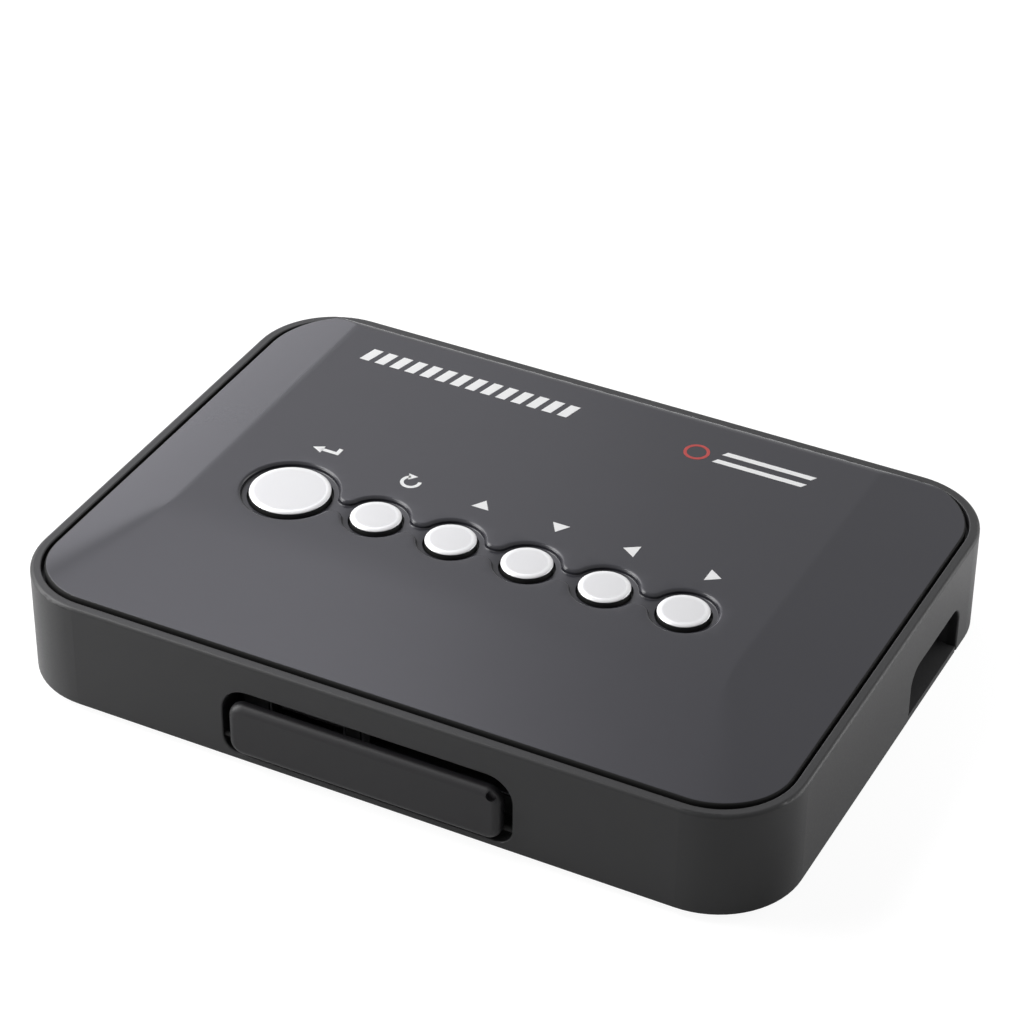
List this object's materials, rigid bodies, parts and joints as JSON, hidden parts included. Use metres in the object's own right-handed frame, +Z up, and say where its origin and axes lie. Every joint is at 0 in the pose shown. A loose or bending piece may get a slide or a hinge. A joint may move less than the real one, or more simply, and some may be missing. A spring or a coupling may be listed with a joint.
{
  "type": "media player",
  "caption": "Low rounded media player with a row of round keys on a crowned top panel, a drop-down flap over its front sockets, and video, audio and power sockets.",
  "frame": {"origin": "on the surface that the feet stand on, under the middle of the case's plan", "axes": "+X to the right along the long side, +Y from the front flap to the back sockets, +Z up"},
  "size_m": [0.13, 0.0957, 0.0217],
  "materials": {
    "case_plastic": "fine satin moulded plastic, charcoal",
    "base_plastic": "fine matte moulded plastic, near black",
    "foot_rubber": "soft matte black",
    "flap_plastic": "smoked satin plastic, charcoal",
    "key_plastic": "light silver, semi-gloss, with a bright bevel",
    "steel": "bright plated",
    "pin_steel": "blackened",
    "switch_plastic": "moulded",
    "plunger_plastic": "moulded",
    "board_laminate": "green solder mask",
    "connector_plastic": "moulded, ivory",
    "ribbon_film": "white film",
    "chip_plastic": "moulded epoxy",
    "pad_silicone": "soft grey blue",
    "sink_aluminium": "anodised",
    "can_aluminium": "drawn metal can",
    "coil_ferrite": "sintered ferrite",
    "socket_plastic": "moulded black",
    "receiver_plastic": "dark infrared lens",
    "lamp_plastic": "diffused red"
  },
  "bodies": {
    "case": {"side_frame": "case_plastic", "top_cover": "case_plastic", "base_cover": "base_plastic", "foot_front_left": "foot_rubber", "foot_back_left": "foot_rubber", "foot_front_right": "foot_rubber", "foot_back_right": "foot_rubber", "flap_pin_left": "pin_steel", "flap_pin_right": "pin_steel", "case_screws": "steel", "key_screws": "steel", "board_screws": "steel", "usb_shell": "steel", "card_shell": "steel", "video_shell": "steel", "power_pin": "steel", "enter_switch": "switch_plastic", "back_switch": "switch_plastic", "up_switch": "switch_plastic", "down_switch": "switch_plastic", "left_switch": "switch_plastic", "right_switch": "switch_plastic", "main_board": "board_laminate", "key_board": "board_laminate", "key_connector": "connector_plastic", "board_connector": "connector_plastic", "key_ribbon": "ribbon_film", "main_chip": "chip_plastic", "memory_chip_left": "chip_plastic", "memory_chip_right": "chip_plastic", "flash_chip": "chip_plastic", "regulator": "chip_plastic", "thermal_pad": "pad_silicone", "heat_sink": "sink_aluminium", "crystal": "can_aluminium", "capacitor_front": "can_aluminium", "capacitor_back": "can_aluminium", "power_coil": "coil_ferrite", "usb_core": "socket_plastic", "card_tray": "socket_plastic", "video_core": "socket_plastic", "power_socket": "socket_plastic", "av_socket": "socket_plastic", "remote_receiver": "receiver_plastic", "status_lamp": "lamp_plastic"},
    "flap": {"front_flap": "flap_plastic"},
    "enter": {"enter_key": "key_plastic", "enter_plunger": "plunger_plastic"},
    "back": {"back_key": "key_plastic", "back_plunger": "plunger_plastic"},
    "up": {"up_key": "key_plastic", "up_plunger": "plunger_plastic"},
    "down": {"down_key": "key_plastic", "down_plunger": "plunger_plastic"},
    "left": {"left_key": "key_plastic", "left_plunger": "plunger_plastic"},
    "right": {"right_key": "key_plastic", "right_plunger": "plunger_plastic"}
  },
  "joints": [
    {"name": "flap_hinge", "type": "hinge", "parent": "case", "child": "flap", "pos_m": [0, -0.04635, 0.00498], "axis": [1, 0, 0], "range_deg": [0, 90]},
    {"name": "enter_press", "type": "slide", "parent": "case", "child": "enter", "axis": [0, 0, -1], "range_m": [0, 0.0005], "stiffness_N_per_m": 400, "springref_m": -0.0003},
    {"name": "back_press", "type": "slide", "parent": "case", "child": "back", "axis": [0, 0, -1], "range_m": [0, 0.0005], "stiffness_N_per_m": 400, "springref_m": -0.0003},
    {"name": "up_press", "type": "slide", "parent": "case", "child": "up", "axis": [0, 0, -1], "range_m": [0, 0.0005], "stiffness_N_per_m": 400, "springref_m": -0.0003},
    {"name": "down_press", "type": "slide", "parent": "case", "child": "down", "axis": [0, 0, -1], "range_m": [0, 0.0005], "stiffness_N_per_m": 400, "springref_m": -0.0003},
    {"name": "left_press", "type": "slide", "parent": "case", "child": "left", "axis": [0, 0, -1], "range_m": [0, 0.0005], "stiffness_N_per_m": 400, "springref_m": -0.0003},
    {"name": "right_press", "type": "slide", "parent": "case", "child": "right", "axis": [0, 0, -1], "range_m": [0, 0.0005], "stiffness_N_per_m": 400, "springref_m": -0.0003}
  ]
}
